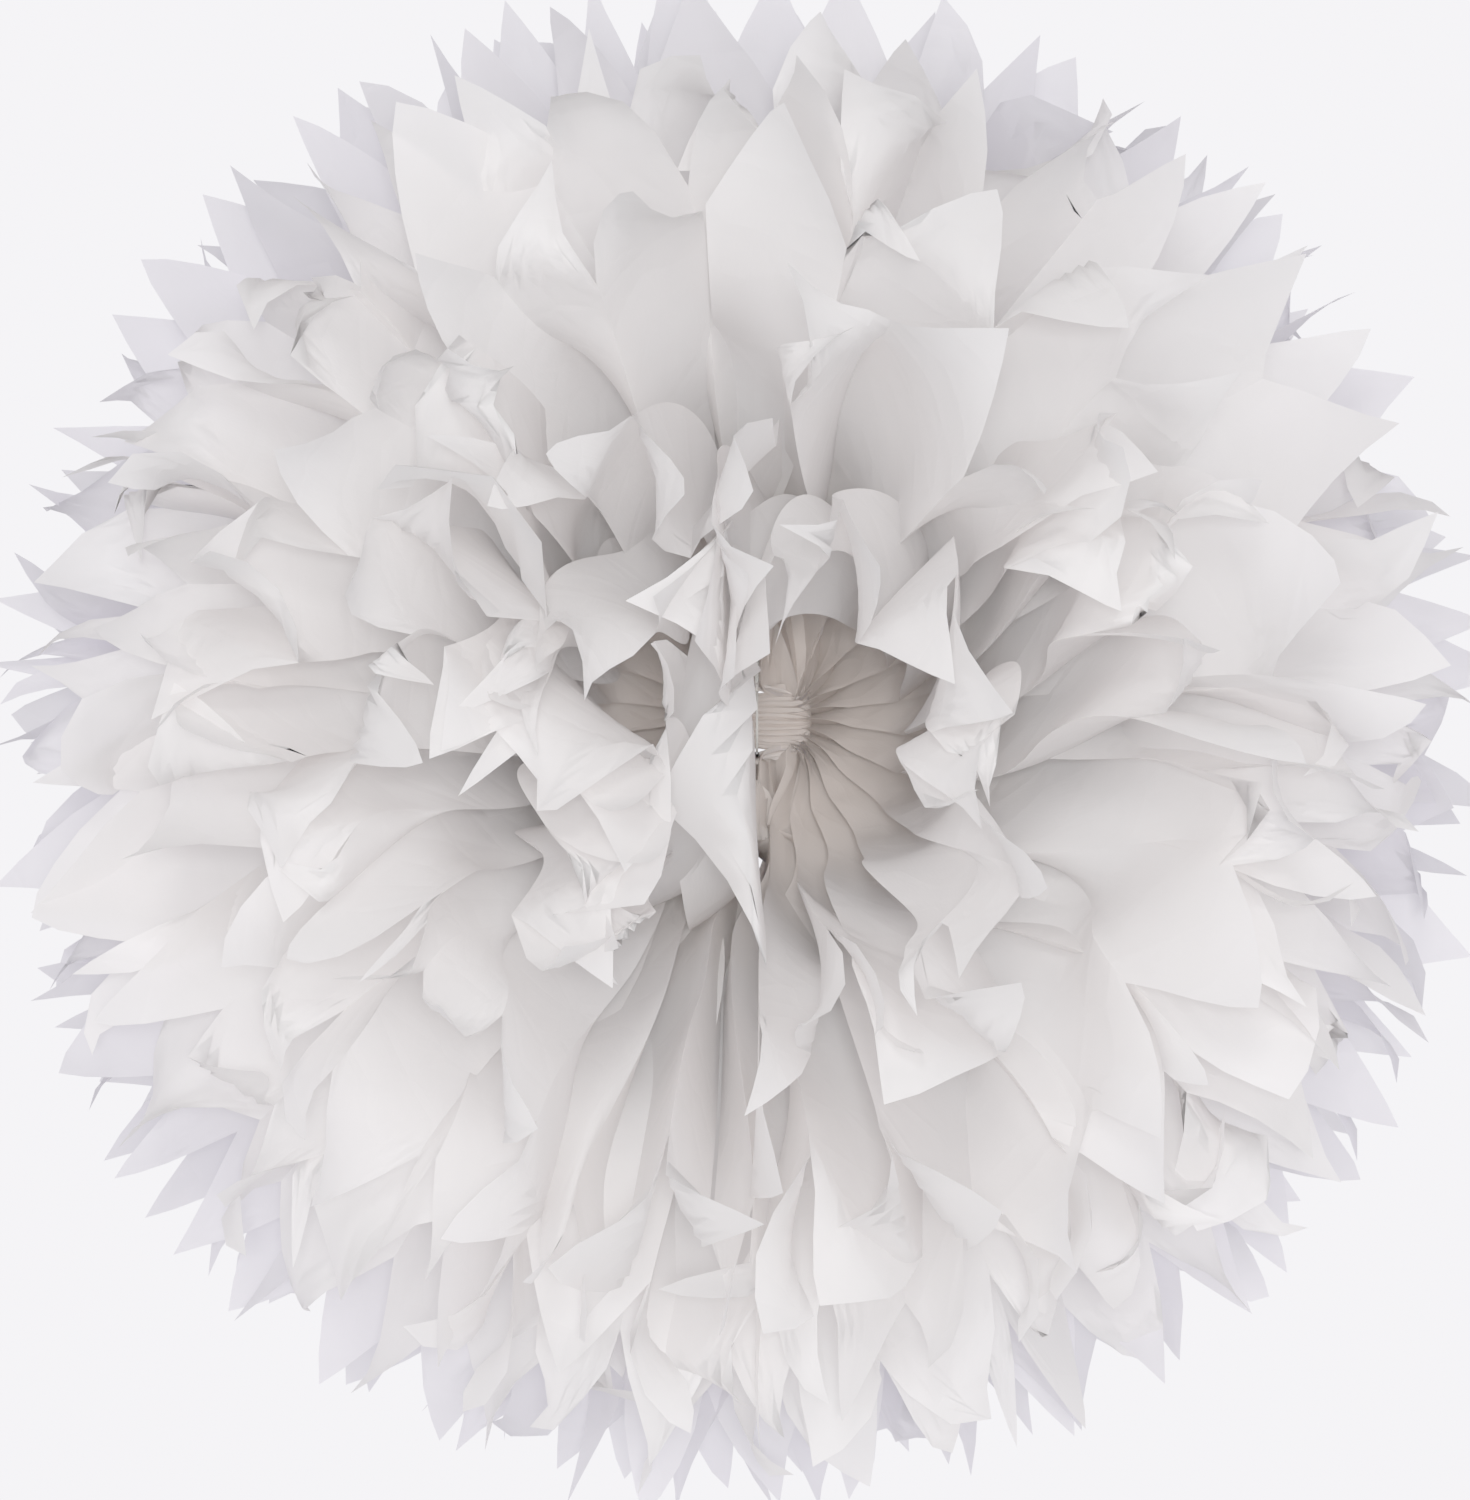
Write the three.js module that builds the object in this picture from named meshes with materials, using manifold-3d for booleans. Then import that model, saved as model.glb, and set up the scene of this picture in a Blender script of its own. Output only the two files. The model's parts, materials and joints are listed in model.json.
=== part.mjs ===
// A fluffed tissue-paper pom-pom that hangs from the eye of its own tie wire.
// Fourteen tissue sheets are folded together into one accordion, tied at the waist, fanned open to the
// left and the right, and pulled apart: seven sheets to the front and seven to the back. Each half of a
// sheet is one leaf, a pleated fan that swings at the tie.
// Millimetres. +Z up, +X right, the front faces -Y. The origin is where a thread bears in the hanging eye.

import * as THREE from 'three';
import { mergeVertices } from 'three/addons/utils/BufferGeometryUtils.js';
import Module from 'manifold-3d';

const wasm = await Module();
wasm.setup();

// The sheet: 762 x 508 mm, pleated across its long side and tied across its middle.
const SHEET_SHORT_SIDE = 508;
const STRIP_REACH = SHEET_SHORT_SIDE / 2;
const LEAF_THICKNESS = 0.5;

// How far each leaf of a quarter is lifted out of the fan's plane, from the front one to the middle one.
const LEAF_LIFTS_DEG = [78, 63, 49, 36, 24, 13, 4];
const QUARTERS = [
  { name: 'front_right', side: 1, facing: -1 },
  { name: 'front_left', side: -1, facing: -1 },
  { name: 'back_right', side: 1, facing: 1 },
  { name: 'back_left', side: -1, facing: 1 },
];

// The fan: strips open out from a small circle round the tie and turn to their leaf's lift along a bend.
const FAN_START_RADIUS = 10;
const BEND_LENGTH = 60;
const HALF_SEAM = 3;
const FAN_END_DEG = 90;
const SHEET_SPACING = 0.95;

// A leaf: every panel between two creases ends in one cut petal.
const PANELS = 24;
const LEAF_START = 40;
const NOTCH_REACH = 214;

// The ball hangs from its middle, so the strips bow a little and the whole ball sags below its tie.
const BALL_HALF_WIDTH = 231;
const BALL_HALF_HEIGHT = 239;
const SAG = 9;
const LEAN_TO_LEFT = 7;

// The gathered waist and its wire.
const WAIST_RADIUS = 9.5;
const WAIST_GROOVE_RADIUS = 8.9;
const WAIST_HALF_LENGTH = 12;
const GROOVE_HALF_WIDTH = 1.5;
const GATHER_RADIUS = 36;
const GATHER_HALF_DEPTH = 8.6;
const GATHER_RIDGE = 1.2;
const WAIST_RIDGE = 0.3;
const WAIST_EDGE_HALF_DEPTH = 0.6;
const WIRE_RADIUS = 0.45;
const FIT_GAP = 0.3;
const STEM_LENGTH = 13;
const STEM_TURNS = 3;
const EYE_INNER_RADIUS = 6;

const LOOP_RADIUS = WAIST_GROOVE_RADIUS + FIT_GAP + WIRE_RADIUS;
const STEM_FOOT = LOOP_RADIUS + WIRE_RADIUS / 2;
const EYE_CENTRE = STEM_FOOT + STEM_LENGTH + EYE_INNER_RADIUS + WIRE_RADIUS;
const TIE_DROP = EYE_CENTRE + EYE_INNER_RADIUS;

const radians = THREE.MathUtils.degToRad;
const lerp = THREE.MathUtils.lerp;

const whiteTissue = { color: 0xe3e1e4, roughness: 0.85, metalness: 0 };
const deepTissue = { color: 0xd0c6c1, roughness: 0.9, metalness: 0 };
const paintedWire = { color: 0x2b2a2c, roughness: 0.5, metalness: 0.6 };

// A named mesh with a material of its own.
function piece(name, geometry, finish) {
  geometry.computeVertexNormals();
  const mesh = new THREE.Mesh(geometry, new THREE.MeshStandardMaterial(finish));
  mesh.name = name;
  return mesh;
}

// A geometry from corner points and triangles that share them.
function surface(points, triangles) {
  const geometry = new THREE.BufferGeometry();
  const places = new Float32Array(points.flatMap((p) => [p.x, p.y, p.z]));
  geometry.setAttribute('position', new THREE.BufferAttribute(places, 3));
  geometry.setIndex(triangles);
  return geometry;
}

// Two triangles over four corners, given in order round them.
function quad(a, b, c, d) {
  return [a, b, c, a, c, d];
}

// The same triangles seen from the other side.
function flipped(triangles) {
  const turned = [];
  for (let i = 0; i < triangles.length; i += 3) {
    turned.push(triangles[i], triangles[i + 2], triangles[i + 1]);
  }
  return turned;
}

// Where gravity takes a point of the ball, counted from the tie.
function sagged(point) {
  const outward = Math.min(point.length() / STRIP_REACH, 1) ** 2;
  const narrowing = 1 - (1 - BALL_HALF_WIDTH / STRIP_REACH) * outward;
  const flattening = 1 - (1 - BALL_HALF_HEIGHT / STRIP_REACH) * outward;
  return new THREE.Vector3(
    point.x * narrowing - LEAN_TO_LEFT * outward,
    point.y * narrowing,
    point.z * flattening - SAG * outward,
  );
}

// A point of a leaf: so far along a strip, at an azimuth in the fan (0 is sideways, 90 degrees is up).
function leafPoint(leaf, reach, azimuth) {
  const opened = reach - FAN_START_RADIUS;
  const turn = (leaf.lift * Math.min(opened, BEND_LENGTH)) / BEND_LENGTH;
  const arcRadius = BEND_LENGTH / leaf.lift;
  const straight = Math.max(opened - BEND_LENGTH, 0);
  const radius = FAN_START_RADIUS + arcRadius * Math.sin(turn) + straight * Math.cos(leaf.lift);
  const depth = leaf.startDepth + arcRadius * (1 - Math.cos(turn)) + straight * Math.sin(leaf.lift);
  const across = HALF_SEAM + radius * Math.cos(azimuth);
  return sagged(
    new THREE.Vector3(leaf.side * across, leaf.facing * depth, radius * Math.sin(azimuth)),
  );
}

// The direction square to a leaf at one of its points.
function leafNormal(leaf, reach, azimuth) {
  const step = 1e-3;
  const here = leafPoint(leaf, reach, azimuth);
  const along = leafPoint(leaf, reach + step * STRIP_REACH, azimuth).sub(here);
  const across = leafPoint(leaf, reach, azimuth + step).sub(here);
  return along.cross(across).normalize();
}

// One leaf: a curved fan of even thickness, with a pointed petal at the end of every panel.
function leafGeometry(leaf) {
  const rows = [LEAF_START, FAN_START_RADIUS + BEND_LENGTH, NOTCH_REACH];
  const lastRow = rows.length - 1;
  const spots = [];
  for (const reach of rows) {
    for (let crease = 0; crease <= PANELS; crease += 1) {
      spots.push({ reach, crease });
    }
  }
  for (let panel = 0; panel < PANELS; panel += 1) {
    spots.push({ reach: STRIP_REACH, crease: panel + 0.5 });
  }
  const points = [];
  for (const half of [1, -1]) {
    for (const { reach, crease } of spots) {
      const azimuth = radians(lerp(-FAN_END_DEG, FAN_END_DEG, crease / PANELS));
      const offset = leafNormal(leaf, reach, azimuth).multiplyScalar((half * LEAF_THICKNESS) / 2);
      points.push(leafPoint(leaf, reach, azimuth).add(offset));
    }
  }
  const at = (row, crease) => row * (PANELS + 1) + crease;
  const tip = (panel) => at(rows.length, panel);
  const face = [];
  for (let panel = 0; panel < PANELS; panel += 1) {
    for (let row = 0; row < lastRow; row += 1) {
      face.push(
        ...quad(at(row, panel), at(row + 1, panel), at(row + 1, panel + 1), at(row, panel + 1)),
      );
    }
    face.push(at(lastRow, panel), tip(panel), at(lastRow, panel + 1));
  }
  const rim = [];
  for (let panel = 0; panel < PANELS; panel += 1) {
    rim.push(at(0, panel));
  }
  for (let row = 0; row < lastRow; row += 1) {
    rim.push(at(row, PANELS));
  }
  for (let panel = PANELS - 1; panel >= 0; panel -= 1) {
    rim.push(at(lastRow, panel + 1), tip(panel));
  }
  for (let row = lastRow; row > 0; row -= 1) {
    rim.push(at(row, 0));
  }
  const backOf = spots.length;
  const walls = rim.flatMap((a, i) => {
    const b = rim[(i + 1) % rim.length];
    return quad(a, b, b + backOf, a + backOf);
  });
  const back = flipped(face).map((corner) => corner + backOf);
  return surface(points, [...face, ...back, ...walls]);
}

// The outline of the gathered sheets at one station: a ring of corners through every panel.
// `spread` runs from 0, at the end of the tied waist, to 1, at the rim of the gathered fan.
function gatherRing(side, spread, waistX, waistRadius) {
  const front = [];
  const back = [];
  for (let panel = 0; panel <= PANELS; panel += 1) {
    const azimuth = radians(lerp(-FAN_END_DEG + 2, FAN_END_DEG - 2, panel / PANELS));
    const start = new THREE.Vector3(waistX, 0, waistRadius * Math.sin(azimuth));
    const end = new THREE.Vector3(
      HALF_SEAM + GATHER_RADIUS * Math.cos(azimuth),
      0,
      GATHER_RADIUS * Math.sin(azimuth),
    );
    const pull = 14;
    const leave = new THREE.Vector3(waistX + pull / 3, 0, start.z);
    const arrive = end.clone().sub(
      new THREE.Vector3((pull / 3) * Math.cos(azimuth), 0, (pull / 3) * Math.sin(azimuth)),
    );
    const place = new THREE.CubicBezierCurve3(start, leave, arrive, end).getPoint(spread);
    const ridge = lerp(WAIST_RIDGE, GATHER_RIDGE, spread) * (panel % 2 ? 1 : -1);
    const waistDepth = Math.max(waistRadius * Math.cos(azimuth) - WAIST_RIDGE, WAIST_EDGE_HALF_DEPTH);
    const depth = lerp(waistDepth, GATHER_HALF_DEPTH, spread);
    front.push(new THREE.Vector3(side * place.x, -depth + ridge, place.z));
    back.push(new THREE.Vector3(side * place.x, depth + ridge, place.z));
  }
  return { front, back };
}

// All fourteen sheets from the rim of one gathered fan, through the tied waist, to the other's.
function gatheredWaistGeometry() {
  const spreads = [1, 0.72, 0.42, 0.16];
  const stations = [
    ...spreads.map((spread) => [1, spread, WAIST_HALF_LENGTH, WAIST_RADIUS]),
    [1, 0, WAIST_HALF_LENGTH, WAIST_RADIUS],
    [1, 0, GROOVE_HALF_WIDTH, WAIST_GROOVE_RADIUS],
    [-1, 0, GROOVE_HALF_WIDTH, WAIST_GROOVE_RADIUS],
    [-1, 0, WAIST_HALF_LENGTH, WAIST_RADIUS],
    ...spreads.toReversed().map((spread) => [-1, spread, WAIST_HALF_LENGTH, WAIST_RADIUS]),
  ];
  const points = [];
  for (const station of stations) {
    const { front, back } = gatherRing(...station);
    points.push(...front, ...back.reverse());
  }
  const around = 2 * (PANELS + 1);
  const triangles = [];
  for (let s = 0; s + 1 < stations.length; s += 1) {
    for (let i = 0; i < around; i += 1) {
      const j = (i + 1) % around;
      triangles.push(
        ...quad(s * around + i, s * around + j, (s + 1) * around + j, (s + 1) * around + i),
      );
    }
  }
  const last = (stations.length - 1) * around;
  for (let panel = 0; panel < PANELS; panel += 1) {
    const [a, b] = [panel, panel + 1];
    const [c, d] = [around - 1 - b, around - 1 - a];
    triangles.push(...quad(a, d, c, b));
    triangles.push(...quad(last + a, last + b, last + c, last + d));
  }
  return surface(points, triangles);
}

// A closed geometry as a manifold solid, and back again.
function solidOf(geometry) {
  const bare = geometry.clone();
  bare.deleteAttribute('normal');
  bare.deleteAttribute('uv');
  const merged = mergeVertices(bare, 1e-4);
  return new wasm.Manifold(
    new wasm.Mesh({
      numProp: 3,
      vertProperties: new Float32Array(merged.attributes.position.array),
      triVerts: new Uint32Array(merged.index.array),
    }),
  );
}

function geometryOf(solid) {
  const mesh = solid.getMesh();
  const geometry = new THREE.BufferGeometry();
  geometry.setAttribute('position', new THREE.BufferAttribute(mesh.vertProperties, 3));
  geometry.setIndex(Array.from(mesh.triVerts));
  return geometry;
}

// One strand of the twisted stem, swept along its helix.
function strandGeometry(phase) {
  const turnRadius = WIRE_RADIUS * 0.7;
  const steps = 7 * STEM_TURNS;
  const places = [];
  for (let i = 0; i <= steps; i += 1) {
    const angle = phase + (2 * Math.PI * STEM_TURNS * i) / steps;
    const height = STEM_FOOT - WIRE_RADIUS / 2 + ((STEM_LENGTH + WIRE_RADIUS) * i) / steps;
    places.push(
      new THREE.Vector3(turnRadius * Math.cos(angle), turnRadius * Math.sin(angle), height),
    );
  }
  const section = new THREE.Shape();
  section.absarc(0, 0, WIRE_RADIUS, 0, 2 * Math.PI);
  return new THREE.ExtrudeGeometry(section, {
    steps,
    curveSegments: 3,
    extrudePath: new THREE.CatmullRomCurve3(places),
  });
}

// The floral wire: a loop round the waist, its two ends twisted into a stem, and an eye to hang it by.
function tieWireGeometry() {
  const loop = new THREE.TorusGeometry(LOOP_RADIUS, WIRE_RADIUS, 6, 32);
  loop.rotateY(Math.PI / 2);
  const eye = new THREE.TorusGeometry(EYE_INNER_RADIUS + WIRE_RADIUS, WIRE_RADIUS, 6, 24);
  eye.rotateY(Math.PI / 2);
  eye.translate(0, 0, EYE_CENTRE);
  const strands = [0, Math.PI].map((phase) => solidOf(strandGeometry(phase)));
  const wire = solidOf(loop).add(solidOf(eye)).add(strands[0]).add(strands[1]);
  return geometryOf(wire);
}

const pomPom = new THREE.Group();
const hung = new THREE.Group();
hung.position.z = -TIE_DROP;
pomPom.add(hung);

for (const { name, side, facing } of QUARTERS) {
  LEAF_LIFTS_DEG.forEach((liftDeg, i) => {
    const layersFromMiddle = LEAF_LIFTS_DEG.length - i;
    const leaf = {
      side,
      facing,
      lift: radians(liftDeg),
      startDepth: SHEET_SPACING * layersFromMiddle,
    };
    hung.add(piece(`${name}_leaf_${i + 1}`, leafGeometry(leaf), whiteTissue));
  });
}
hung.add(piece('gathered_waist', gatheredWaistGeometry(), deepTissue));
hung.add(piece('tie_wire', tieWireGeometry(), paintedWire));

export default pomPom;
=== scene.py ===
# %% [markdown]
# # A fluffed tissue-paper pom-pom
# The real thing is fourteen sheets of white tissue, folded together into one accordion, tied round the
# middle with a wire, fanned open to the left and the right, and pulled apart by hand. Each half of a
# sheet becomes a "leaf": a pleated fan of 24 strips that end in cut petals. The CAD model gives every
# leaf as a thick plain solid on its own hinge. Here each one is replaced by thin creased paper.

# %% Load the frame
import json
import math

import bpy
import numpy as np
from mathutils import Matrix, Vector

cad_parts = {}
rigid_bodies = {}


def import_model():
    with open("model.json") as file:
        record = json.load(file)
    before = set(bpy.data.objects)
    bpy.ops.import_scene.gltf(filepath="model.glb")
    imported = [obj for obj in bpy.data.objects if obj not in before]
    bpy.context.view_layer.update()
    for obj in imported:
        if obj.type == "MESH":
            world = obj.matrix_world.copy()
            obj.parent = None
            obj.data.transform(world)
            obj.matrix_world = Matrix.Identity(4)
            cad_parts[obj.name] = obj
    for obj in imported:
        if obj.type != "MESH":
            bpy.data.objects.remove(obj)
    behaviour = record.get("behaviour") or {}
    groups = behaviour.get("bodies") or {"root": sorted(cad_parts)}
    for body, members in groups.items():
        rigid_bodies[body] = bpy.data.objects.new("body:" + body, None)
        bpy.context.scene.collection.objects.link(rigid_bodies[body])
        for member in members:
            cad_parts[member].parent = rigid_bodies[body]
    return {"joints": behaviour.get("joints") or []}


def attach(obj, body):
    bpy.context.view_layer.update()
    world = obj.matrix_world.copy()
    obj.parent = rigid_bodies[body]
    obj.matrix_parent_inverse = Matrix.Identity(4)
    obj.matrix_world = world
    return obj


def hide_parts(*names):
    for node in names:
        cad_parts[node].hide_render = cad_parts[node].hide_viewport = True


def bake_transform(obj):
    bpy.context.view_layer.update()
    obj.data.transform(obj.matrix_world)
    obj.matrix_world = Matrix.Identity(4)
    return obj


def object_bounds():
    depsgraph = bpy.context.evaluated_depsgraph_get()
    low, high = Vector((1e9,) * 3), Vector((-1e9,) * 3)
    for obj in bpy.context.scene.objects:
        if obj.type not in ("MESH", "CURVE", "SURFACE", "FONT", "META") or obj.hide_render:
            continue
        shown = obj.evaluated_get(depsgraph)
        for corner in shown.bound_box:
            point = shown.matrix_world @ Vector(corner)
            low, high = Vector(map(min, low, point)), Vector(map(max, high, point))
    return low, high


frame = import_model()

cad_low, cad_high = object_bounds()
print("CAD box, metres:", [round(x, 3) for x in (*cad_low, *cad_high)])

# %% [markdown]
# ## The folded sheet
# A sheet is 762 by 508 mm. Folded into 24 pleats across its long side and tied across its middle, it
# gives two leaves whose strips reach 254 mm from the tie. These measures are the same as the CAD
# model's, so the paper lies where the solids are.

# %% Measures of one sheet and of the gathered middle
PANELS = 24
PANEL_WIDTH = 0.762 / PANELS
STRIP_REACH = 0.508 / 2
PETAL_LENGTH = 0.040
NOTCH_REACH = STRIP_REACH - PETAL_LENGTH
LIFTS = [math.radians(a) for a in (78, 63, 49, 36, 24, 13, 4)]
QUARTERS = (
    ("front_right", 1, -1),
    ("front_left", -1, -1),
    ("back_right", 1, 1),
    ("back_left", -1, 1),
)

FAN_START = 0.010
BEND_LENGTH = 0.060
HALF_SEAM = 0.003
SHEET_SPACING = 0.00095
GATHER_REACH = 0.040
WAIST_RADIUS = 0.0085
WAIST_END = 0.012
WAIST_PULL = 0.0047

BALL_HALF_WIDTH = 0.231
BALL_HALF_HEIGHT = 0.239
SAG = 0.009
LEAN = 0.007

TIE = np.array([0.0, 0.0, frame["joints"][0]["pos_m"][2]])
print("one pleat is", round(PANEL_WIDTH * 1000, 2), "mm wide; the tie is at", TIE)

# %% [markdown]
# ## Where a leaf lies
# A leaf could be draped by cloth simulation, but 28 nested leaves of 24 pleats would take far too long
# and would tangle. A formula is quicker and never tangles: reach says how far a point is from the tie
# along its strip, and azimuth says which way that strip points. The strip bends up to its leaf's lift,
# then its own weight bends it down. Neighbouring leaves use the same formula, so they never cross.


# %% Mean surface of a leaf
def smooth(x, low, high):
    """0 below low, 1 above high, and a smooth rise between."""
    t = np.clip((x - low) / (high - low), 0.0, 1.0)
    return t * t * (3.0 - 2.0 * t)


def sagged(x, y, z):
    """Gravity narrows the ball a little and lets it sink below its tie."""
    outward = np.minimum((x * x + y * y + z * z) / STRIP_REACH**2, 1.0)
    narrow = 1.0 - (1.0 - BALL_HALF_WIDTH / STRIP_REACH) * outward
    flat = 1.0 - (1.0 - BALL_HALF_HEIGHT / STRIP_REACH) * outward
    return np.stack([x * narrow - LEAN * outward, y * narrow, z * flat - SAG * outward], axis=-1)


def swung_out(leaf, reach, azimuth, rim, across, upward):
    """Inside the gathered paper a strip leaves the waist sideways and swings round to its azimuth."""
    u = np.clip(reach / GATHER_REACH, 0.0, 1.0)
    a, b, c, d = (1 - u) ** 3, 3 * u * (1 - u) ** 2, 3 * u * u * (1 - u), u**3
    start_up = WAIST_RADIUS * np.sin(azimuth)
    rim_across = HALF_SEAM + rim * np.cos(azimuth)
    rim_up = rim * np.sin(azimuth)
    inner_across = a * WAIST_END + b * (WAIST_END + WAIST_PULL) + d * rim_across
    inner_across = inner_across + c * (rim_across - WAIST_PULL * np.cos(azimuth))
    inner_up = (a + b) * start_up + c * (rim_up - WAIST_PULL * np.sin(azimuth)) + d * rim_up
    # The end strips of the middle leaves are squashed into the wedge above and below the waist.
    squashed = smooth(np.abs(azimuth), 1.05, 1.5) * smooth(u, 0.0, 0.22) * leaf["squash"]
    inner_across = inner_across * (1 - squashed) + 0.0006 * squashed
    inside = reach < GATHER_REACH
    return np.where(inside, inner_across, across), np.where(inside, inner_up, upward)


def fan_point(leaf, reach, azimuth):
    """The mean surface of a leaf, without its pleats: arrays in, points out, from the tie."""
    lift = leaf["lift"]
    opened = np.maximum(reach - FAN_START, 0.0)
    turn = lift * np.minimum(opened, BEND_LENGTH) / BEND_LENGTH
    arc = BEND_LENGTH / lift
    straight = np.maximum(opened - BEND_LENGTH, 0.0)
    radius = FAN_START + arc * np.sin(turn) + straight * math.cos(lift)
    nested = leaf["nest"] * SHEET_SPACING * (0.15 + 0.85 * np.clip(reach / GATHER_REACH, 0, 1))
    depth = nested + arc * (1.0 - np.cos(turn)) + straight * math.sin(lift)
    closing = smooth(reach, 0.045, 0.10)
    across = HALF_SEAM * (1 - 0.85 * closing) + radius * np.cos(azimuth)
    upward = radius * np.sin(azimuth)
    rim = FAN_START + arc * math.sin(lift * (GATHER_REACH - FAN_START) / BEND_LENGTH)
    across, upward = swung_out(leaf, reach, azimuth, rim, across, upward)
    # The two leaves that meet at a seam meet a little left or right of the middle.
    seam = np.where(azimuth > 0, leaf["seam"][0], leaf["seam"][1])
    shift = seam * closing * smooth(np.abs(azimuth), 0.9, 1.5)
    # The weight of a strip bends it down, square to its own run.
    fall = leaf["fall"] * (reach / STRIP_REACH) ** 2.2
    rise = math.cos(lift) * np.sin(azimuth)
    aside = leaf["side"] * (across + fall * rise * math.cos(lift) * np.cos(azimuth)) + shift
    forward = leaf["facing"] * (depth + fall * rise * math.sin(lift))
    return sagged(aside, forward, upward + fall * (rise * rise - 1.0))


def unit(v):
    return v / np.maximum(np.linalg.norm(v, axis=-1, keepdims=True), 1e-12)


def fan_normal(leaf, reach, azimuth):
    """The direction square to a leaf's mean surface, towards the leaf's own face of the ball."""
    here = fan_point(leaf, reach, azimuth)
    along = fan_point(leaf, reach + 1e-4, azimuth) - here
    across = fan_point(leaf, reach, azimuth + 1e-3) - here
    return unit(np.cross(along, across)) * (-leaf["side"] * leaf["facing"])


print("a level tip, once sagged:", np.round(sagged(STRIP_REACH, 0.0, 0.0), 3))

# %% [markdown]
# ## Pleats, ruffles and petals
# Tissue can't stretch, so a pleat that is squeezed sideways gets deeper by just what it loses in width.
# That one rule makes deep sharp folds at the tie and almost flat panels at the rim. Pulling the sheets
# apart by hand leaves no two pleats alike, so the creases wander more and more outwards. Past the
# notches every petal is free and has its own sharp or soft bend and its own twist.


# %% The creases of a leaf
STEPS = np.linspace(0.0, STRIP_REACH, 96)


def crease_azimuths(leaf, rng_shared, rng_own):
    """Azimuth of each crease at each step of reach: even at the tie, less and less even outwards."""
    even = np.full(PANELS, math.pi / PANELS)
    shared = even * np.exp(0.18 * rng_shared.standard_normal(PANELS))
    shared *= math.pi / shared.sum()
    own = even * np.exp(leaf["uneven"] * rng_own.standard_normal(PANELS))
    # No panel may open wider than its own paper.
    widest = PANEL_WIDTH / (0.053 + 0.18 * math.cos(leaf["lift"]))
    for _ in range(20):
        own = np.minimum(own * math.pi / own.sum(), max(widest, math.pi / PANELS))
    own *= math.pi / own.sum()
    mix = smooth(STEPS, 0.05, 0.20)[:, None]
    widths = shared * (1 - mix) + own * mix
    edges = np.concatenate([np.zeros((len(STEPS), 1)), np.cumsum(widths, axis=1)], axis=1)
    # Groups of strips lean over together, but the end strips stay at the seam.
    slow = np.convolve(rng_own.standard_normal(PANELS + 5), np.ones(5) / 5**0.5, "valid")
    lean = leaf["lean"] * slow * np.sin(np.linspace(0, math.pi, PANELS + 1)) ** 0.5
    return edges - math.pi / 2 + mix * lean


def crease_offsets(leaf, azimuths, rng):
    """Laps the folds over one another, and says how far each crease stands off the mean surface."""
    reach = np.repeat(STEPS[:, None], PANELS + 1, axis=1)
    points = fan_point(leaf, reach, azimuths)
    chord = np.linalg.norm(points[:, 1:] - points[:, :-1], axis=-1)
    least = 0.004 + 0.012 * rng.random(PANELS)
    deep = np.sqrt(np.maximum(PANEL_WIDTH**2 - chord**2, least**2))
    deep = np.concatenate([deep[:, :1], (deep[:, 1:] + deep[:, :-1]) / 2, deep[:, -1:]], axis=1)
    squeezed = 0.016 * np.sqrt(1 - 0.8 * np.sin(azimuths) ** 2)
    # Near the tie the folds are crushed flat over one another, so they stand up less.
    radius = chord.sum(axis=1, keepdims=True) / math.pi
    lap = np.minimum(0.4 * deep / np.maximum(radius, 1e-3), math.pi / PANELS)
    lap = lap * (smooth(STEPS, 0.012, 0.030) * (1 - smooth(STEPS, 0.12, 0.22)))[:, None]
    turns = np.where(np.arange(PANELS + 1) % 2 == 0, 1.0, -1.0)
    ends = np.sin(np.linspace(0, math.pi, PANELS + 1)) ** 0.3
    azimuths = azimuths + turns * ends * lap
    deep = deep * (0.46 + 0.54 * smooth(STEPS, 0.040, 0.14))[:, None]
    opened = smooth(STEPS, 0.0, 0.030)[:, None]
    sign = turns * leaf["facing"]
    pleat = 0.5 * sign * (squeezed * (1 - opened) + deep * opened)
    slow = np.convolve(rng.standard_normal(PANELS + 7), np.ones(7) / 7**0.5, "valid")
    ruffle = leaf["ruffle"] * rng.standard_normal(PANELS + 1) + leaf["wave"] * slow
    # A strip that was pulled and let go buckles once or twice along its length.
    length = 0.09 + 0.07 * rng.random(PANELS + 1)
    phase = 2 * math.pi * (STEPS[:, None] / length + rng.random(PANELS + 1))
    buckle = leaf["buckle"] * np.sin(phase) * smooth(STEPS, 0.07, 0.16)[:, None]
    return azimuths, pleat + buckle + smooth(STEPS, 0.06, STRIP_REACH)[:, None] * ruffle


def read_steps(table, crease, reach):
    """Reads a crease table at any reach, straight between its steps."""
    f = np.clip(reach / STRIP_REACH, 0, 1) * (len(STEPS) - 1)
    i = np.minimum(f.astype(int), len(STEPS) - 2)
    return table[i, crease] * (1 - (f - i)) + table[i + 1, crease] * (f - i)


print("creases of a leaf:", PANELS + 1, "followed over", len(STEPS), "steps")


# %% The paper between the creases
ROWS = 52
ACROSS = 8


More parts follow.
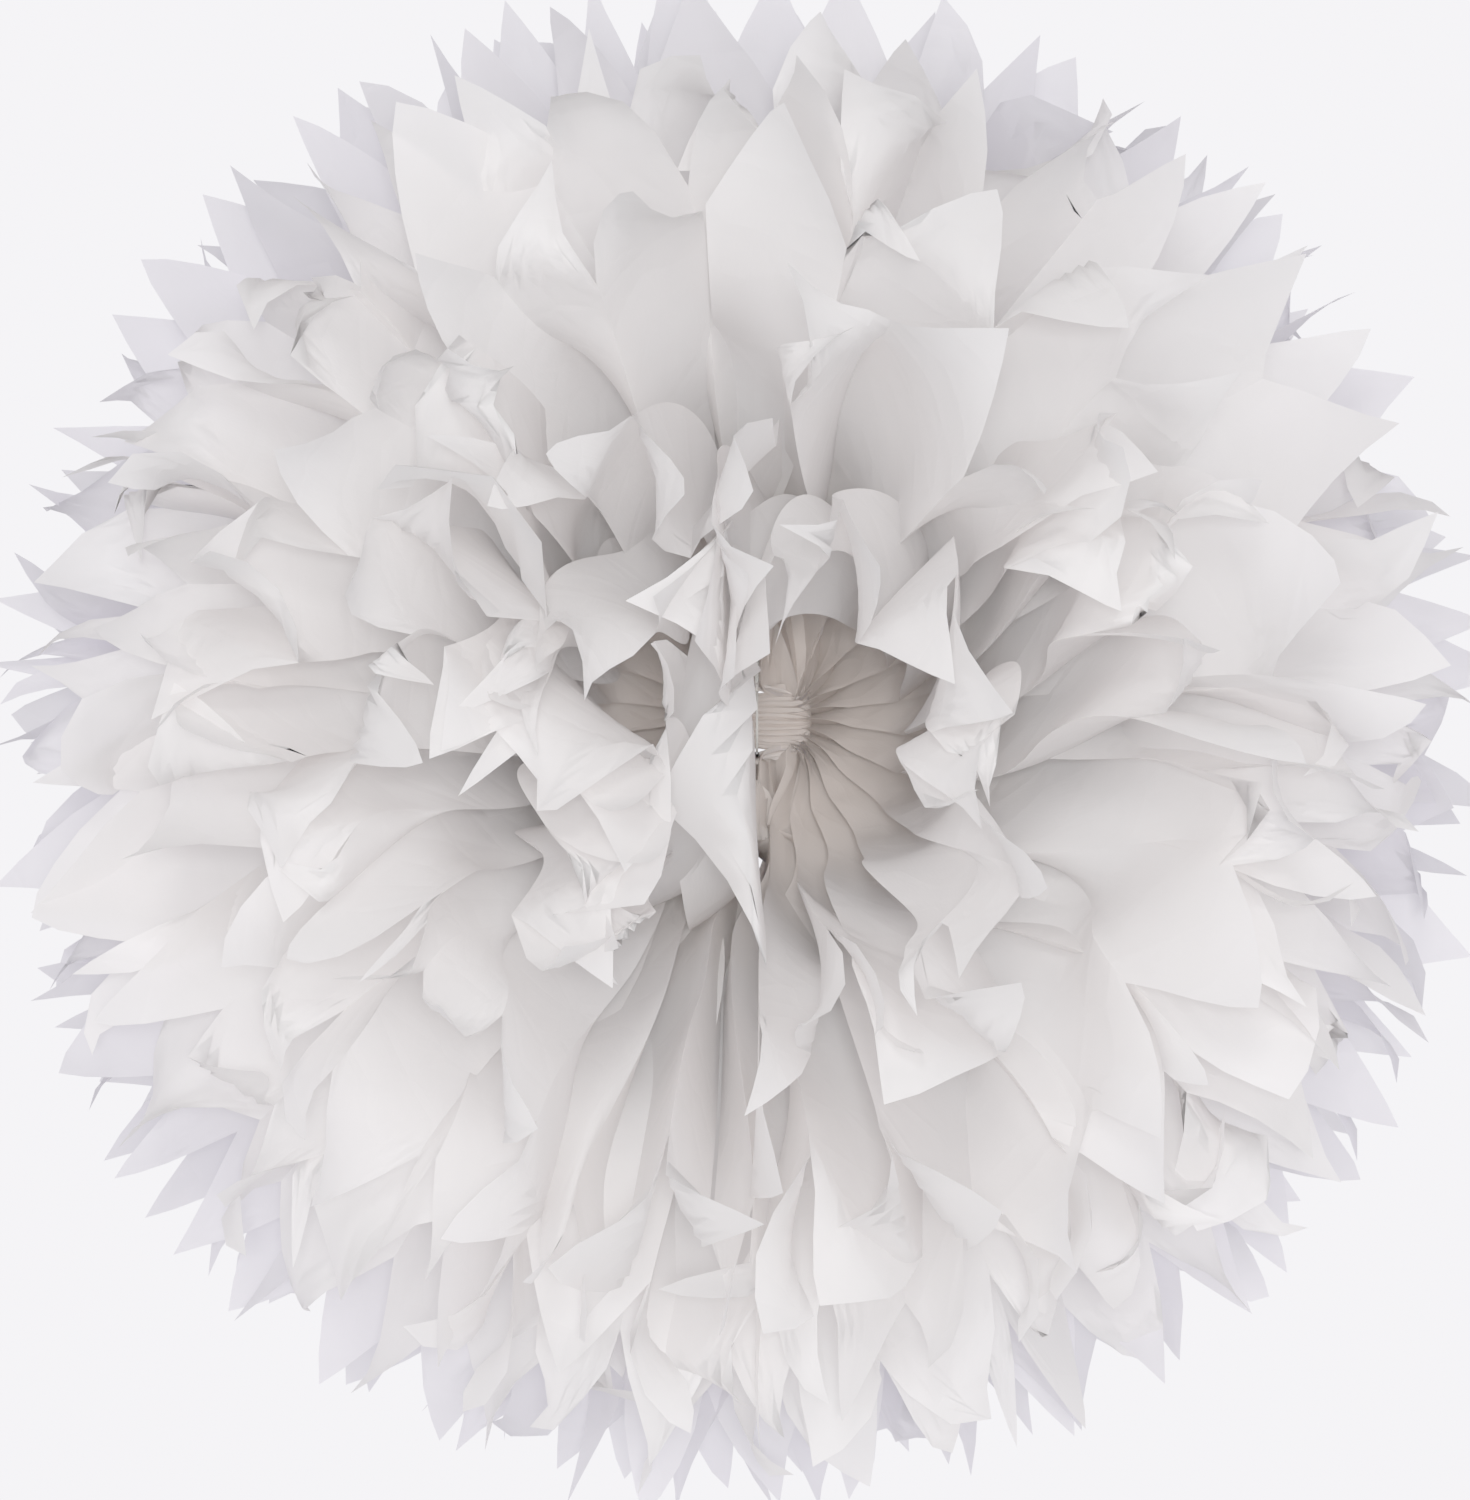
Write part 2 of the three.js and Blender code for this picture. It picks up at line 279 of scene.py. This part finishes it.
def bent_petals(leaf, rng, base, forward, sideways, square, middle, free, panel, t):
    """Bends and twists each free petal past its notch, along a slanting fold of its own."""
    curl = (leaf["curl"] * rng.standard_normal(PANELS))[panel] - leaf["droop"] * square[..., 2]
    curl = np.where(np.abs(curl) < 1e-2, 1e-2, curl)
    start = (0.006 + 0.014 * rng.random(PANELS))[panel]
    width = np.where(rng.random(PANELS) < 0.5, 0.003, 0.028)[panel]
    slope = (start * 2 * (2 * rng.random(PANELS) - 1)[panel]) * 0.9
    along = free + slope * (t - 0.5)
    turned = np.clip(along - start, 0, width)
    angle = curl * turned / width
    rest = np.maximum(along - start - width, 0)
    ahead = np.minimum(along, start) + width / curl * np.sin(angle) + rest * np.cos(angle)
    aside = width / curl * (1 - np.cos(angle)) + rest * np.sin(angle)
    ahead = ahead - slope * (t - 0.5)
    roll = (leaf["twist"] * rng.standard_normal(PANELS))[panel] * free / PETAL_LENGTH
    turned_square = square * np.cos(angle)[..., None] - forward * np.sin(angle)[..., None]
    new_side = sideways * np.cos(roll)[..., None] + turned_square * np.sin(roll)[..., None]
    lateral = np.sum((base - middle) * sideways, axis=-1)[..., None]
    bulge = np.sum((base - middle) * square, axis=-1)[..., None]
    bent = middle + forward * ahead[..., None] + square * aside[..., None]
    bent = bent + new_side * lateral + turned_square * bulge
    return np.where((free > 0)[..., None], bent, base)


def leaf_points(leaf):
    """All points of one pleated leaf, as rows x columns x 3, from the tie."""
    rng = np.random.default_rng(leaf["seed"])
    azimuths = crease_azimuths(leaf, np.random.default_rng(40), rng)
    azimuths, offsets = crease_offsets(leaf, azimuths, rng)
    u = np.arange(PANELS * ACROSS + 1) / ACROSS
    panel = np.minimum(u.astype(int), PANELS - 1)
    t = u - panel
    cut = leaf["cut"] * np.exp(0.12 * rng.standard_normal(PANELS))[panel]
    end = STRIP_REACH - PETAL_LENGTH * np.abs(2 * t - 1) ** cut
    rows = np.linspace(0.0, 1.0, ROWS)[:, None] ** 1.1
    reach = 0.001 + (end[None, :] - 0.001) * rows
    panel = np.broadcast_to(panel[None, :], reach.shape)
    t = np.broadcast_to(t[None, :], reach.shape)
    cup = leaf["cup"] * rng.standard_normal(PANELS)
    held = leaf["held"]

    def strip_point(reach, t):
        azimuth = read_steps(azimuths, panel, reach) * (1 - t)
        azimuth = azimuth + read_steps(azimuths, panel + 1, reach) * t
        offset = read_steps(offsets, panel, reach) * (1 - t)
        offset = offset + read_steps(offsets, panel + 1, reach) * t
        offset = offset + cup[panel] * 4 * t * (1 - t) * smooth(reach, 0.08, 0.22)
        point = fan_point(leaf, reach, azimuth)
        point = point + fan_normal(leaf, reach, azimuth) * offset[..., None]
        for centre, spread, move in held:
            near = np.exp(-(((panel + t - centre) / spread) ** 2)) * smooth(reach, 0.07, 0.25)
            point = point + near[..., None] * np.array(move)
        return point

    flat = np.minimum(reach, NOTCH_REACH)
    base = strip_point(flat, t)
    middle = strip_point(flat, np.full_like(t, 0.5))
    before = strip_point(flat - 0.004, np.full_like(t, 0.5))
    sideways = unit(strip_point(flat, np.ones_like(t)) - strip_point(flat, np.zeros_like(t)))
    forward = unit(middle - before)
    to_face = -leaf["side"] * leaf["facing"]
    square = unit(np.cross(forward, sideways)) * to_face
    sideways = np.cross(square, forward) * to_face
    free = np.maximum(reach - NOTCH_REACH, 0.0)
    points = bent_petals(leaf, rng, base, forward, sideways, square, middle, free, panel, t)
    return points, np.stack([(panel + t) * PANEL_WIDTH, reach], axis=-1)


print("grid of a leaf:", ROWS, "rows of", PANELS * ACROSS + 1, "points")


# %% Turn a grid of points into paper
def grid_mesh(name, points, flat, sharp_every):
    """A mesh over a grid of points, smooth along its panels and sharp at its creases."""
    rows, columns = points.shape[:2]
    index = np.arange(rows * columns).reshape(rows, columns)
    corners = [index[:-1, :-1], index[:-1, 1:], index[1:, 1:], index[1:, :-1]]
    quads = np.stack(corners, axis=-1).reshape(-1, 4)
    mesh = bpy.data.meshes.new(name)
    mesh.from_pydata(points.reshape(-1, 3).tolist(), [], quads.tolist())
    mesh.polygons.foreach_set("use_smooth", np.ones(len(mesh.polygons), bool))
    loops = np.empty(len(mesh.loops), np.int32)
    mesh.loops.foreach_get("vertex_index", loops)
    layer = mesh.uv_layers.new(name="flat_sheet_metres")
    layer.data.foreach_set("uv", flat.reshape(-1, 2)[loops].ravel())
    ends = np.empty(len(mesh.edges) * 2, np.int32)
    mesh.edges.foreach_get("vertices", ends)
    column = ends.reshape(-1, 2) % columns
    sharp = (column[:, 0] == column[:, 1]) & (column[:, 0] % sharp_every == 0)
    mesh.attributes.new("sharp_edge", "BOOLEAN", "EDGE").data.foreach_set("value", sharp)
    mesh.update()
    obj = bpy.data.objects.new(name, mesh)
    bpy.context.scene.collection.objects.link(obj)
    return obj


# %% [markdown]
# ## Materials
# Each finish is made of nodes. Two helpers are enough: one turns an sRGB hex colour into the linear
# values that shaders want, and one adds a node with its settings and links.


# %% Colour and node helpers
def linear(hex_colour):
    """A six-digit sRGB hex colour as linear RGBA."""
    parts = [int(hex_colour[i : i + 2], 16) / 255 for i in (0, 2, 4)]
    return (*(p / 12.92 if p <= 0.04045 else ((p + 0.055) / 1.055) ** 2.4 for p in parts), 1.0)


def node(tree, kind, settings=(), inputs=(), links=()):
    """Adds a node, sets its properties and sockets, and links sockets to it."""
    made = tree.nodes.new(kind)
    for name, value in dict(settings).items():
        setattr(made, name, value)
    for name, value in dict(inputs).items():
        made.inputs[name].default_value = value
    for name, source in dict(links).items():
        tree.links.new(source, made.inputs[name])
    return made


def new_material(name):
    material = bpy.data.materials.new(name)
    material.use_nodes = True
    material.node_tree.nodes.clear()
    return material, material.node_tree


# %% Machine-glazed tissue
def machine_glazed_tissue(name, face, painted_core_shade, through, bump_strength):
    """White tissue dried against a polished cylinder: a faint gloss, and light passes through."""
    material, tree = new_material(name)
    place = node(tree, "ShaderNodeTexCoord")
    # The UVs are metres on the flat sheet; from here on the patterns are in millimetres.
    flat = node(
        tree,
        "ShaderNodeMapping",
        inputs={"Scale": (1000, 1000, 1000)},
        links={0: place.outputs["UV"]},
    )
    # Clouds of thicker and thinner fibre, about 6 mm across, that show when light comes through.
    clouds = node(
        tree,
        "ShaderNodeTexNoise",
        inputs={"Scale": 0.16, "Detail": 3.0},
        links={0: flat.outputs[0]},
    )
    tint = node(
        tree,
        "ShaderNodeMix",
        {"data_type": "RGBA"},
        {"A": linear(face[0]), "B": linear(face[1])},
        {"Factor": clouds.outputs[0]},
    )
    # Painted shade: near the tie the paper is painted warmer and darker, standing for the deep folds
    # round the core.
    axes = node(tree, "ShaderNodeSeparateXYZ", links={0: flat.outputs[0]})
    core_shade_mask = node(
        tree,
        "ShaderNodeMapRange",
        {"interpolation_type": "SMOOTHSTEP"},
        {"From Min": 25.0, "From Max": 130.0, "To Min": 1.0, "To Max": 0.0},
        {"Value": axes.outputs["Y"]},
    )
    tint = node(
        tree,
        "ShaderNodeMix",
        {"data_type": "RGBA"},
        {"B": linear(painted_core_shade)},
        {"Factor": core_shade_mask.outputs[0], "A": tint.outputs["Result"]},
    )
    # Handling leaves crumple lines 10 to 25 mm apart.
    crumple = node(
        tree,
        "ShaderNodeTexVoronoi",
        {"feature": "DISTANCE_TO_EDGE"},
        {"Scale": 0.055, "Randomness": 1.0},
        {0: flat.outputs[0]},
    )
    ridge = node(
        tree,
        "ShaderNodeMapRange",
        inputs={"From Min": 0.0, "From Max": 0.18, "To Min": 0.0, "To Max": 0.35},
        links={"Value": crumple.outputs[0]},
    )
    # The fibre itself is finer than this; it is drawn 1 mm wide and 4 mm long so that it shows.
    stretched = node(
        tree,
        "ShaderNodeMapping",
        inputs={"Scale": (1.0, 0.25, 1.0)},
        links={0: flat.outputs[0]},
    )
    fibre = node(
        tree,
        "ShaderNodeTexNoise",
        inputs={"Scale": 1.0, "Detail": 2.0},
        links={0: stretched.outputs[0]},
    )
    relief = node(
        tree,
        "ShaderNodeMath",
        {"operation": "MULTIPLY_ADD"},
        {1: 0.12},
        {0: fibre.outputs[0], 2: ridge.outputs[0]},
    )
    bump = node(
        tree,
        "ShaderNodeBump",
        inputs={"Strength": bump_strength, "Distance": 0.0012},
        links={"Height": relief.outputs[0]},
    )
    shader = node(
        tree,
        "ShaderNodeBsdfPrincipled",
        inputs={"Roughness": 0.48, "IOR": 1.45},
        links={"Base Color": tint.outputs["Result"], "Normal": bump.outputs[0]},
    )
    glow = node(
        tree,
        "ShaderNodeBsdfTranslucent",
        inputs={"Color": linear(through)},
        links={"Normal": bump.outputs[0]},
    )
    both = node(
        tree,
        "ShaderNodeMixShader",
        inputs={0: 0.50},
        links={1: shader.outputs[0], 2: glow.outputs[0]},
    )
    node(tree, "ShaderNodeOutputMaterial", links={"Surface": both.outputs[0]})
    return material


# The third colour of each tissue is the painted warm shade near the tie.
tissue = machine_glazed_tissue(
    "machine_glazed_white_tissue", ("f9f8f9", "f5f4f6"), "f7ebe3", "fbf6f3", 0.35
)
# Leaves 6 and 7 are the same paper, tinted a little cooler to stand for the shade they lie in.
outer_tissue = machine_glazed_tissue(
    "machine_glazed_tissue_in_shade", ("efedf2", "eae7ee"), "f6eae2", "f0edf4", 0.35
)
# Under the wire the same tissue is creased all over; its warmer, darker colour is painted shade for the
# deep core round the tie.
gathered_tissue_painted_shade = machine_glazed_tissue(
    "crushed_tissue_painted_warm_shade", ("f6e9e1", "eddfd5"), "f6e9e1", "fbeee4", 0.6
)
print("tissues:", [m.name for m in (tissue, outer_tissue, gathered_tissue_painted_shade)])

# %% [markdown]
# ## The leaves
# Every leaf is one open sheet of paper. The front leaves are freer than the middle ones: they fall
# further and curl more. A few strips at the front were left standing across the middle, and they are
# moved there one by one.

# %% How each leaf of a quarter was left by the hands that opened it
# From leaf 1, the outermost, to leaf 7. Seams and falls are metres; ruffles and waves are how far the
# creases stray; uneven is how much the panels differ in width.
SEAMS = [
    (-0.004, 0.002),
    (0.009, -0.010),
    (-0.012, 0.008),
    (0.010, -0.007),
    (-0.008, 0.011),
    (0.012, -0.012),
    (-0.010, 0.005),
]
UNEVEN = [1.3, 1.1, 0.9, 0.8, 0.7, 0.6, 0.6]
RUFFLES = [0.016, 0.015, 0.013, 0.011, 0.009, 0.008, 0.006]
WAVES = [0.013, 0.012, 0.011, 0.010, 0.008, 0.007, 0.004]
FALLS = [0.050, 0.042, 0.034, 0.026, 0.018, 0.010, 0.004]
# Strips moved one by one: the strip's number, how many strips share the move, and the move in metres.
HELD = {
    "front_left_leaf_1": [
        (1.5, 1.6, (0.014, 0.010, 0.165)),
        (5.0, 2.0, (0.0, 0.0, 0.05)),
        (11.0, 3.0, (0.030, -0.006, 0.0)),
    ],
    "front_right_leaf_1": [
        (9.0, 2.5, (-0.012, -0.004, 0.0)),
        (3.0, 2.5, (0.0, 0.0, 0.055)),
    ],
    "back_left_leaf_1": [(21.0, 4.0, (0.006, 0.0, -0.025))],
    "back_right_leaf_1": [(21.0, 4.0, (-0.006, 0.0, -0.025))],
}

print("leaves with strips moved by hand:", list(HELD))

# %% Make the 28 leaves
for q, (quarter, side, facing) in enumerate(QUARTERS):
    for i, lift in enumerate(LIFTS):
        node_name = f"{quarter}_leaf_{i + 1}"
        leaf = {
            "side": side,
            "facing": facing,
            "lift": lift,
            "nest": len(LIFTS) - i,
            "seed": 100 + 10 * q + i,
            "seam": SEAMS[i],
            "squash": 1.0 if i > 1 else 0.0,
            "uneven": UNEVEN[i],
            "fall": FALLS[i],
            "ruffle": RUFFLES[i],
            "wave": WAVES[i],
            "buckle": 0.0055 if i < 5 else 0.003,
            "lean": math.radians(6),
            "cup": 0.002,
            "cut": (1.05, 1.15, 1.3, 1.1, 1.2, 1.05, 1.15)[(i + q) % 7],
            "curl": 1.15 if i < 5 else 0.7,
            "droop": 0.6,
            "twist": 0.95 if i < 5 else 0.6,
            "held": HELD.get(node_name, []),
        }
        points, flat = leaf_points(leaf)
        petals = grid_mesh(f"{node_name}_tissue", points + TIE, flat, ACROSS)
        petals.data.materials.append(tissue if i < 5 else outer_tissue)
        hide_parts(node_name)
        outward = np.array([side * math.cos(lift) * 2 / math.pi, facing * math.sin(lift), 0])
        outward /= np.linalg.norm(outward)
        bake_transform(petals)
print("leaves made:", len(QUARTERS) * len(LIFTS), "each of", ROWS * (PANELS * ACROSS + 1), "points")

# %% [markdown]
# ## The gathered waist
# Where the wire bites, all fourteen sheets are crushed into one fluted bundle, as thick as a finger.
# It could be the ends of the sheets themselves, but pressed together they would only cut through each
# other. One rounded, grooved skin reads better: every flute is one fold, pinched under the wire.


# %% Fluted bundle
def gathered_bundle(stations=61, around=384, folds=24):
    """A closed bundle along X: flutes that run through the tie and fan slightly at both ends."""
    rng = np.random.default_rng(7)
    half = 0.0175
    x = np.linspace(-half, half, stations)[:, None]
    angle = np.linspace(0, 2 * math.pi, around, endpoint=False)[None, :]
    wander = 0.05 * np.sin(3 * angle + 1.1) * (x / half) + 0.10 * np.sin(5 * angle) * (x / half) ** 2
    phase = folds / 2 * (angle + wander)
    groove = 1 - np.abs(np.cos(phase)) ** 0.75
    pinch = 1 - 0.045 * np.exp(-((x / 0.0022) ** 2))
    taper = np.sqrt(np.clip(1.0003 - (np.maximum(np.abs(x) - 0.0125, 0) / 0.005) ** 2, 0, 1))
    uneven = 1 + 0.05 * np.interp(
        (angle * folds / 2 / math.pi) % folds, np.arange(folds + 1), rng.standard_normal(folds + 1)
    )
    radius = 0.0095 * pinch * uneven * (1 - 0.20 * groove) * (0.18 + 0.82 * taper)
    radius = np.minimum(radius, 0.0095)
    points = np.stack(
        [np.broadcast_to(x, radius.shape), -radius * np.cos(angle), radius * np.sin(angle)], axis=-1
    )
    index = np.arange(stations * around).reshape(stations, around)
    nxt = np.roll(index, -1, axis=1)
    quads = np.stack([index[:-1], nxt[:-1], nxt[1:], index[1:]], axis=-1).reshape(-1, 4).tolist()
    verts = (points + TIE).reshape(-1, 3).tolist()
    for ring, flip in ((index[0], True), (index[-1], False)):
        verts.append([float(points.reshape(-1, 3)[ring[0]][0]), 0.0, float(TIE[2])])
        hub = len(verts) - 1
        for a, b in zip(ring.tolist(), np.roll(ring, -1).tolist()):
            quads.append([b, a, hub] if flip else [a, b, hub])
    mesh = bpy.data.meshes.new("gathered_waist_folds")
    mesh.from_pydata(verts, [], quads)
    mesh.polygons.foreach_set("use_smooth", np.ones(len(mesh.polygons), bool))
    flat = np.stack(np.broadcast_arrays(angle * 0.12, x * np.ones_like(angle)), axis=-1).reshape(-1, 2)
    flat = np.concatenate([flat, np.zeros((2, 2))])
    loops = np.empty(len(mesh.loops), np.int32)
    mesh.loops.foreach_get("vertex_index", loops)
    mesh.uv_layers.new(name="flat_sheet_metres").data.foreach_set("uv", flat[loops].ravel())
    mesh.update()
    obj = bpy.data.objects.new("gathered_waist_folds", mesh)
    bpy.context.scene.collection.objects.link(obj)
    return obj


waist = gathered_bundle()
waist.data.materials.append(gathered_tissue_painted_shade)
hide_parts("gathered_waist")
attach(waist, "tied_waist")
print("waist:", waist.name, "faces", len(waist.data.polygons))

# %% [markdown]
# ## The tie wire
# The CAD wire is already the right shape: a loop round the waist, a twisted stem and a round eye. It
# keeps its mesh and gets the finish of florist's wire: drawn steel dipped in white lacquer.

# %% White lacquered wire
lacquer, tree = new_material("white_lacquered_drawn_steel_wire")
place = node(tree, "ShaderNodeTexCoord")
# Lacquer pools in ripples about 0.8 mm apart along such a thin wire.
ripple = node(
    tree,
    "ShaderNodeTexNoise",
    inputs={"Scale": 1200.0, "Detail": 2.0},
    links={0: place.outputs["Object"]},
)
bump = node(
    tree,
    "ShaderNodeBump",
    inputs={"Strength": 0.3, "Distance": 0.0001},
    links={"Height": ripple.outputs[0]},
)
coat = node(
    tree,
    "ShaderNodeMix",
    {"data_type": "RGBA"},
    {"A": linear("ecebe6"), "B": linear("dcdad3")},
    {"Factor": ripple.outputs[0]},
)
shader = node(
    tree,
    "ShaderNodeBsdfPrincipled",
    inputs={"Roughness": 0.32, "IOR": 1.5},
    links={"Base Color": coat.outputs["Result"], "Normal": bump.outputs[0]},
)
node(tree, "ShaderNodeOutputMaterial", links={"Surface": shader.outputs[0]})
wire = next(o for o in bpy.data.objects if o.name.endswith("tie_wire"))
wire.data.materials.clear()
wire.data.materials.append(lacquer)
print("wire:", wire.name, "faces", len(wire.data.polygons))

# %% [markdown]
# ## Camera, floor and light
# The pom-pom hangs at eye level and is seen straight from the front. White tissue needs light from
# close to the camera, so that its deep folds are lit too, and a pale surround that shines through it.
# Lights, floor and sky are studio, not part of the object.

# %% Camera
scene = bpy.context.scene
centre = (np.array(cad_low) + np.array(cad_high)) / 2
CAMERA_DISTANCE = 1.4
FRAME_HEIGHT = 0.480
camera_data = bpy.data.cameras.new("camera")
camera_data.sensor_width = 36
camera_data.lens = 36 * CAMERA_DISTANCE / FRAME_HEIGHT
camera = bpy.data.objects.new("camera", camera_data)
scene.collection.objects.link(camera)
camera.location = (centre[0], -CAMERA_DISTANCE, centre[2])
camera.rotation_euler = (math.pi / 2, 0, 0)
scene.camera = camera
print("camera at", [round(x, 3) for x in camera.location], "lens", round(camera_data.lens, 1), "mm")

# %% Floor
RIM_POINTS = 64
FLOOR_Z = -1.5
FLOOR_RADIUS = 4.5
floor_mesh = bpy.data.meshes.new("studio_floor")
turns = [2 * math.pi * k / RIM_POINTS for k in range(RIM_POINTS)]
floor_mesh.from_pydata(
    [(FLOOR_RADIUS * math.cos(a), FLOOR_RADIUS * math.sin(a), FLOOR_Z) for a in turns],
    [],
    [tuple(range(RIM_POINTS))],
)
floor = bpy.data.objects.new("studio_floor", floor_mesh)
scene.collection.objects.link(floor)
floor_paint, tree = new_material("matt_white_studio_floor")
shader = node(
    tree,
    "ShaderNodeBsdfPrincipled",
    inputs={
        "Base Color": linear("fafafa"),
        "Roughness": 0.9,
        "Emission Color": linear("ffffff"),
        "Emission Strength": 0.20,
    },
)
node(tree, "ShaderNodeOutputMaterial", links={"Surface": shader.outputs[0]})
floor_mesh.materials.append(floor_paint)
print("floor at", FLOOR_Z, "m, radius", FLOOR_RADIUS, "m")

# %% Studio sky: white round the horizon, dimmer overhead
world = bpy.data.worlds.new("studio_sky")
world.use_nodes = True
tree = world.node_tree
tree.nodes.clear()
place = node(tree, "ShaderNodeTexCoord")
axes = node(tree, "ShaderNodeSeparateXYZ", links={0: place.outputs["Generated"]})
strength = node(
    tree,
    "ShaderNodeMapRange",
    {"interpolation_type": "SMOOTHSTEP"},
    {"From Min": 0.17, "From Max": 0.22, "To Min": 0.86, "To Max": 0.16},
    {"Value": axes.outputs["Z"]},
)
light = node(
    tree,
    "ShaderNodeBackground",
    inputs={"Color": (0.975, 0.96, 1.0, 1)},
    links={"Strength": strength.outputs[0]},
)
node(tree, "ShaderNodeOutputWorld", links={"Surface": light.outputs[0]})
scene.world = world
print("sky:", world.name)


# %% Soft lamps
def softbox(name, place, width, watts, colour):
    """A square lamp aimed at the middle of the ball."""
    lamp = bpy.data.lights.new(name, "AREA")
    lamp.shape = "SQUARE"
    lamp.size = width
    lamp.energy = watts
    lamp.color = colour
    obj = bpy.data.objects.new(name, lamp)
    scene.collection.objects.link(obj)
    obj.location = place
    obj.rotation_euler = (Vector(centre) - Vector(place)).to_track_quat("-Z", "Y").to_euler()


softbox("key", (-0.1, -2.1, 0.80), 0.5, 9, (1.0, 0.995, 0.985))
softbox("front_fill", (0.03, -2.2, 0.0), 0.3, 19, (1.0, 0.995, 0.985))
softbox("rim_left", (-1.5, 1.0, -0.3), 0.8, 2.0, (0.72, 0.64, 1.0))
softbox("rim_right", (1.5, 1.0, -0.1), 0.8, 2.0, (0.72, 0.64, 1.0))
softbox("back_fill", (0.3, 2.4, 0.5), 0.8, 5, (0.97, 0.95, 1.0))
# White paper passes light from fold to fold many times before it dies away.
scene.cycles.diffuse_bounces = 6
scene.cycles.max_bounces = 7
scene.view_settings.view_transform = "Standard"
scene.view_settings.gamma = 1.9
